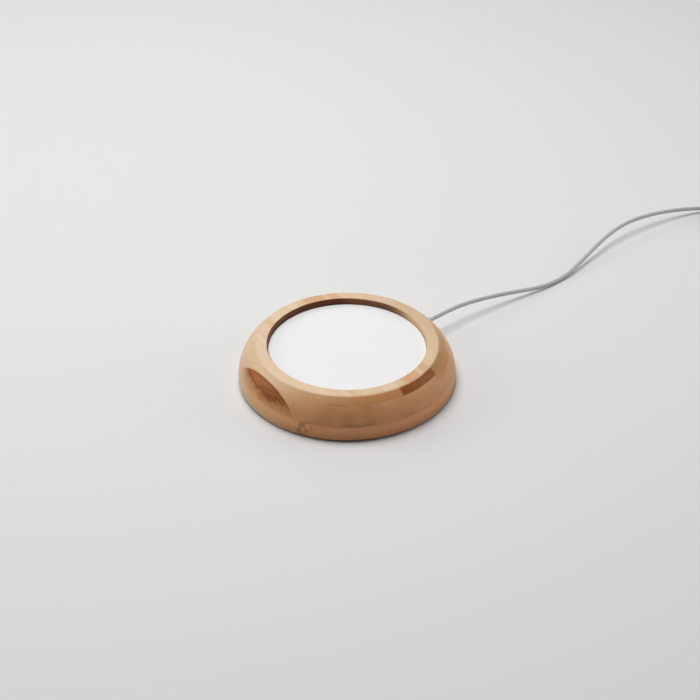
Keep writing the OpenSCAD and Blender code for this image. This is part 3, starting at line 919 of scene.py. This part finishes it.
def board():
    """Solder mask over tracks and vias, with the bare laminate at the board's edge."""
    g = Graph("board_laminate", 0.32)
    x, y = g.split(g.place())[:2]
    block = g.noise(g.place(), 0.14, 1.0)
    run = g.choose(g.above(block, 0.5), x, y)
    in_pitch = g.math("FRACT", g.math("DIVIDE", run, TRACK_PITCH))
    tracked = g.ramp(g.noise(g.place(), 0.3, 1.0), 0.46, 0.5)
    track = g.times(g.near(in_pitch, 0.5, 0.14, 0.18), tracked)
    via = g.ramp(g.cells(g.join(x, y, 0.0), 0.35), 0.10, 0.12, 1.0, 0.0)
    upright = g.split(g.node("NewGeometry", {}).outputs["Normal"])[2]
    edge = g.ramp(g.math("ABSOLUTE", upright), 0.4, 0.6, 1.0, 0.0)
    colour = g.mix(track, BOARD_GREEN, TRACK_GREEN)
    colour = g.mix(via, colour, TIN)
    g.set("Base Color", g.mix(edge, colour, BARE_LAMINATE))
    g.bump(g.add(track, via), 0.035)
    return g.material


def tinned_past(g, distance, half_body):
    """1 where a small part is tinned: further than half_body from its middle."""
    return g.ramp(distance, half_body, half_body + TIN_EDGE)


def soldered_part(name, node, axis, half_body):
    """Ceramic capacitors of one node, all lying along one axis, with tinned ends."""
    g = Graph(name, 0.45)
    low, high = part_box(node)
    middle = (low[axis] + high[axis]) / 2 / MM
    tinned = tinned_past(g, g.apart(g.split(g.place())[axis], middle), half_body)
    grain = g.noise(g.place(), 4.0, 3.0, 0.6)
    body = g.mix(grain, shaded(CAPACITOR_TAN, 0.8), CAPACITOR_TAN)
    g.set("Base Color", g.mix(tinned, body, TIN))
    g.set("Metallic", tinned)
    g.set("Roughness", g.choose(tinned, 0.45, 0.3))
    g.bump(grain, 0.012)
    return g.material


def resistor_finish():
    """Chip resistors: those in the row at the back lie along Y, those in the column along X."""
    g = Graph("resistor_ceramic", 0.35)
    low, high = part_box("chip_resistors")
    x, y = g.split(g.place())[:2]
    off_row = g.apart(y, high[1] / MM - RESISTOR_HALF_L)
    off_column = g.apart(x, low[0] / MM + RESISTOR_HALF_L)
    distance = g.choose(g.above(y, 0.0), off_column, off_row)
    tinned = tinned_past(g, distance, RESISTOR_HALF_BODY)
    g.set("Base Color", g.mix(tinned, RESISTOR_BLACK, TIN))
    g.set("Metallic", tinned)
    g.bump(g.noise(g.place(), 4.0, 3.0, 0.6), 0.01)
    return g.material


def chip_finish():
    """Moulded epoxy over tinned pads, which show in the lowest tenth of a millimetre."""
    g = Graph("chip_epoxy", 0.6)
    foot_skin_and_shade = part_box("controller_chip")[0][2] / MM
    z = g.split(g.place())[2]
    pad = g.ramp(g.less(z, foot_skin_and_shade), PAD_H, PAD_H + TIN_EDGE, 1.0, 0.0)
    grain = g.noise(g.place(), 6.0, 3.0, 0.7)
    g.set("Base Color", g.mix(pad, g.mix(grain, EPOXY_BLACK, EPOXY_GRAIN), TIN))
    g.set("Metallic", pad)
    g.bump(grain, 0.015)
    return g.material


def slot_finishes():
    """The finish of each of the record's material slots that CAD nodes show."""
    finishes = {slot: moulded(slot, *looks) for slot, looks in MOULDED_SLOTS.items()}
    finishes.update({
        "bamboo": bamboo(),
        "litz_copper": litz(),
        "ferrite": ferrite(),
        "board_laminate": board(),
        "chip_epoxy": chip_finish(),
        "nickel_steel": plated("nickel_steel", NICKEL, 0.28),
        "contact_gold": plated("contact_gold", GOLD, 0.22),
    })
    return finishes


def node_finishes():
    """Finishes of the nodes whose ends are tinned, each along its own axis."""
    x, y = 0, 1
    large, small = "resonant_capacitors", "ceramic_capacitors"
    return {
        large: soldered_part("large_ceramic", large, x, LARGE_CERAMIC_HALF_BODY),
        small: soldered_part("small_ceramic", small, y, SMALL_CERAMIC_HALF_BODY),
        "chip_resistors": resistor_finish(),
    }


def finish_nodes():
    """A procedural finish for every CAD node that no new piece replaces."""
    by_slot = slot_finishes()
    by_node = node_finishes()
    for part in frame["record"]["subparts"]:
        name = part["node"]
        finish = by_node.get(name, by_slot.get(part["material_slot"]))
        if finish:
            for place in NODES[name].material_slots:
                place.material = finish


# ---- Floor and light ----

FLOOR_HALF = 6.0
FLOOR_GREY = (0.755, 0.755, 0.74)
SKY_BLUE = (0.9, 0.93, 1.0)
SKY_STRENGTH = 0.12

# Round lights, all of one size and all facing the pad: name, place, and power in watts
LIGHT_SIZE = 0.8
LIGHT_AIM = Vector((0, 0.05, 0))
LIGHTS = [
    ("softbox", (-0.12, 0.20, 1.0), 8.0),
    ("back_softbox", (-0.25, 1.3, 0.85), 3.0),
    ("left_softbox", (-1.15, 0.20, 0.5), 3.8),
    ("right_softbox", (1.15, 0.20, 0.5), 2.95),
]


def add_floor():
    """A plain pale floor under the pad."""
    half = FLOOR_HALF
    corners = [(-half, -half, 0), (half, -half, 0), (half, half, 0), (-half, half, 0)]
    data = bpy.data.meshes.new("floor")
    data.from_pydata(corners, [], [(0, 1, 2, 3)])
    floor = add_object("floor", data)
    g = Graph("floor", 0.7)
    g.set("Base Color", g.colour(FLOOR_GREY))
    data.materials.append(g.material)


def add_area_light(name, at, power):
    """One round softbox that faces the pad."""
    data = bpy.data.lights.new(name, "AREA")
    data.shape = "DISK"
    data.size = LIGHT_SIZE
    data.energy = power
    light = add_object(name, data)
    light.location = at
    light.rotation_euler = (Vector(at) - LIGHT_AIM).to_track_quat("Z", "Y").to_euler()


def add_light():
    """Soft studio light: a faint even sky and four softboxes."""
    scene = bpy.context.scene
    scene.view_settings.view_transform = "Standard"
    scene.world = bpy.data.worlds.new("studio")
    scene.world.use_nodes = True
    sky = scene.world.node_tree.nodes["Background"].inputs
    sky["Color"].default_value = (*SKY_BLUE, 1)
    sky["Strength"].default_value = SKY_STRENGTH
    for name, at, power in LIGHTS:
        add_area_light(name, at, power)


plug_end = [NODES[name] for name in ("plug_shell", "plug_tongue", "plug_contacts")]

add_camera()
finish_nodes()
add_litz_coil()
add_cord([add_strap(), add_grip()] + plug_end)
add_floor()
add_light()
